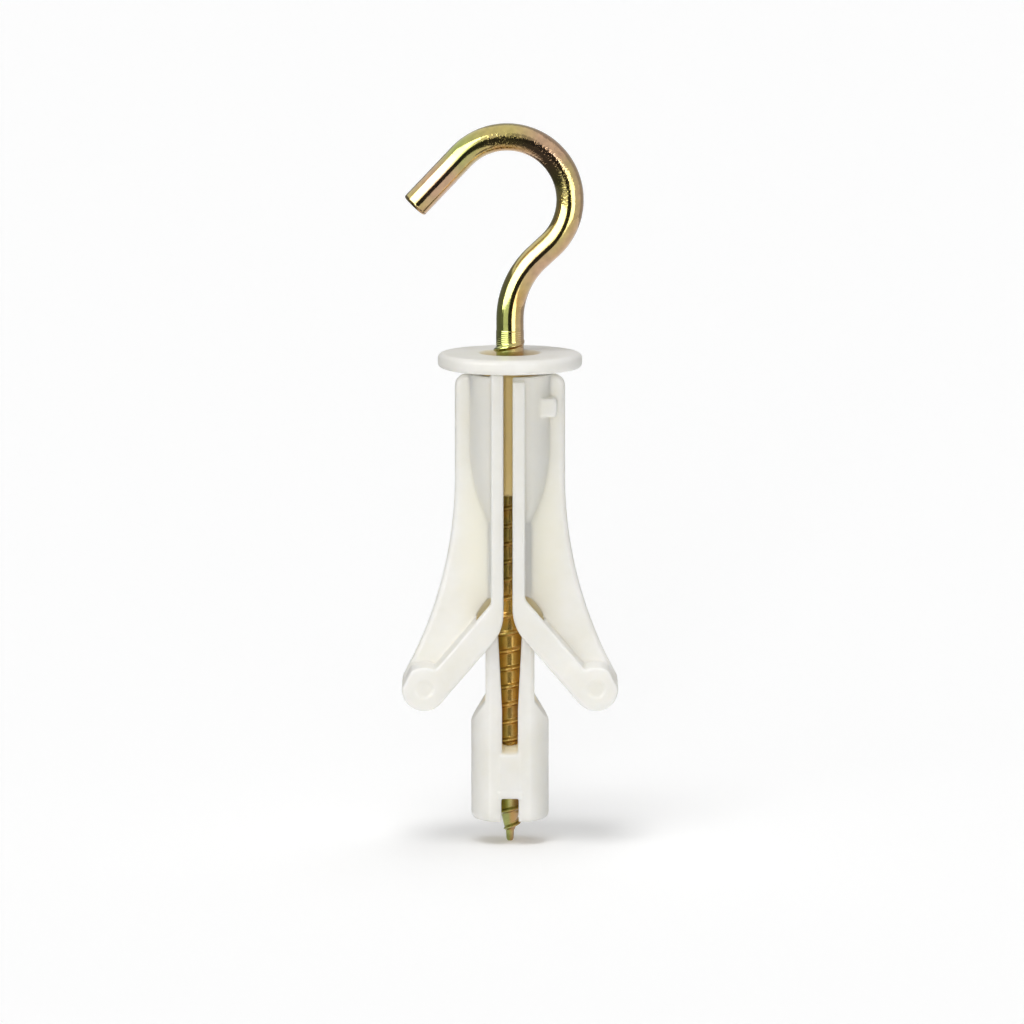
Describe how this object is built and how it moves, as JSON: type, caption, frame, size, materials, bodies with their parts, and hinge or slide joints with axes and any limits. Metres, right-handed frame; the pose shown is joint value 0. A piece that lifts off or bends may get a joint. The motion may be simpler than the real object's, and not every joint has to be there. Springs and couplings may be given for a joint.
{
  "type": "butterfly anchor",
  "caption": "Hollow-wall butterfly anchor: flanged plastic collar, hinged spreading wings, slotted nut and a plated steel screw hook.",
  "frame": {"origin": "on the screw axis in the plane of the flange's underside, where it meets the wall face", "axes": "+Z out of the wall along the screw towards the hook, +X through the right wing, -Y is the front"},
  "size_m": [0.03, 0.02, 0.1003],
  "materials": {
    "plated_steel": "yellow zinc passivated steel, glossy",
    "nylon": "moulded natural white nylon"
  },
  "bodies": {
    "collar": {"collar": "nylon"},
    "screw": {"screw_hook": "plated_steel"},
    "nut": {"nut": "nylon"},
    "wing_right": {"wing_right": "nylon"},
    "wing_left": {"wing_left": "nylon"}
  },
  "joints": [
    {"name": "screw_spin", "type": "hinge", "parent": "collar", "child": "screw", "pos_m": [0, 0, 0], "axis": [0, 0, -1], "range_deg": [0, 2160]},
    {"name": "nut_slide", "type": "slide", "parent": "collar", "child": "nut", "axis": [0, 0, 1], "range_m": [0, 0.015]},
    {"name": "wing_right_swing", "type": "hinge", "parent": "collar", "child": "wing_right", "pos_m": [0.0041, 0, -0.0028], "axis": [0, -1, 0], "range_deg": [0, 15]},
    {"name": "wing_left_swing", "type": "hinge", "parent": "collar", "child": "wing_left", "pos_m": [-0.0041, 0, -0.0028], "axis": [0, 1, 0], "range_deg": [0, 15]}
  ],
  "couplings": [
    {"joint": "nut_slide", "follows": "screw_spin", "m_per_rad": 0.00039789},
    {"joint": "wing_right_swing", "follows": "screw_spin", "ratio": 0.0069444},
    {"joint": "wing_left_swing", "follows": "screw_spin", "ratio": 0.0069444}
  ]
}
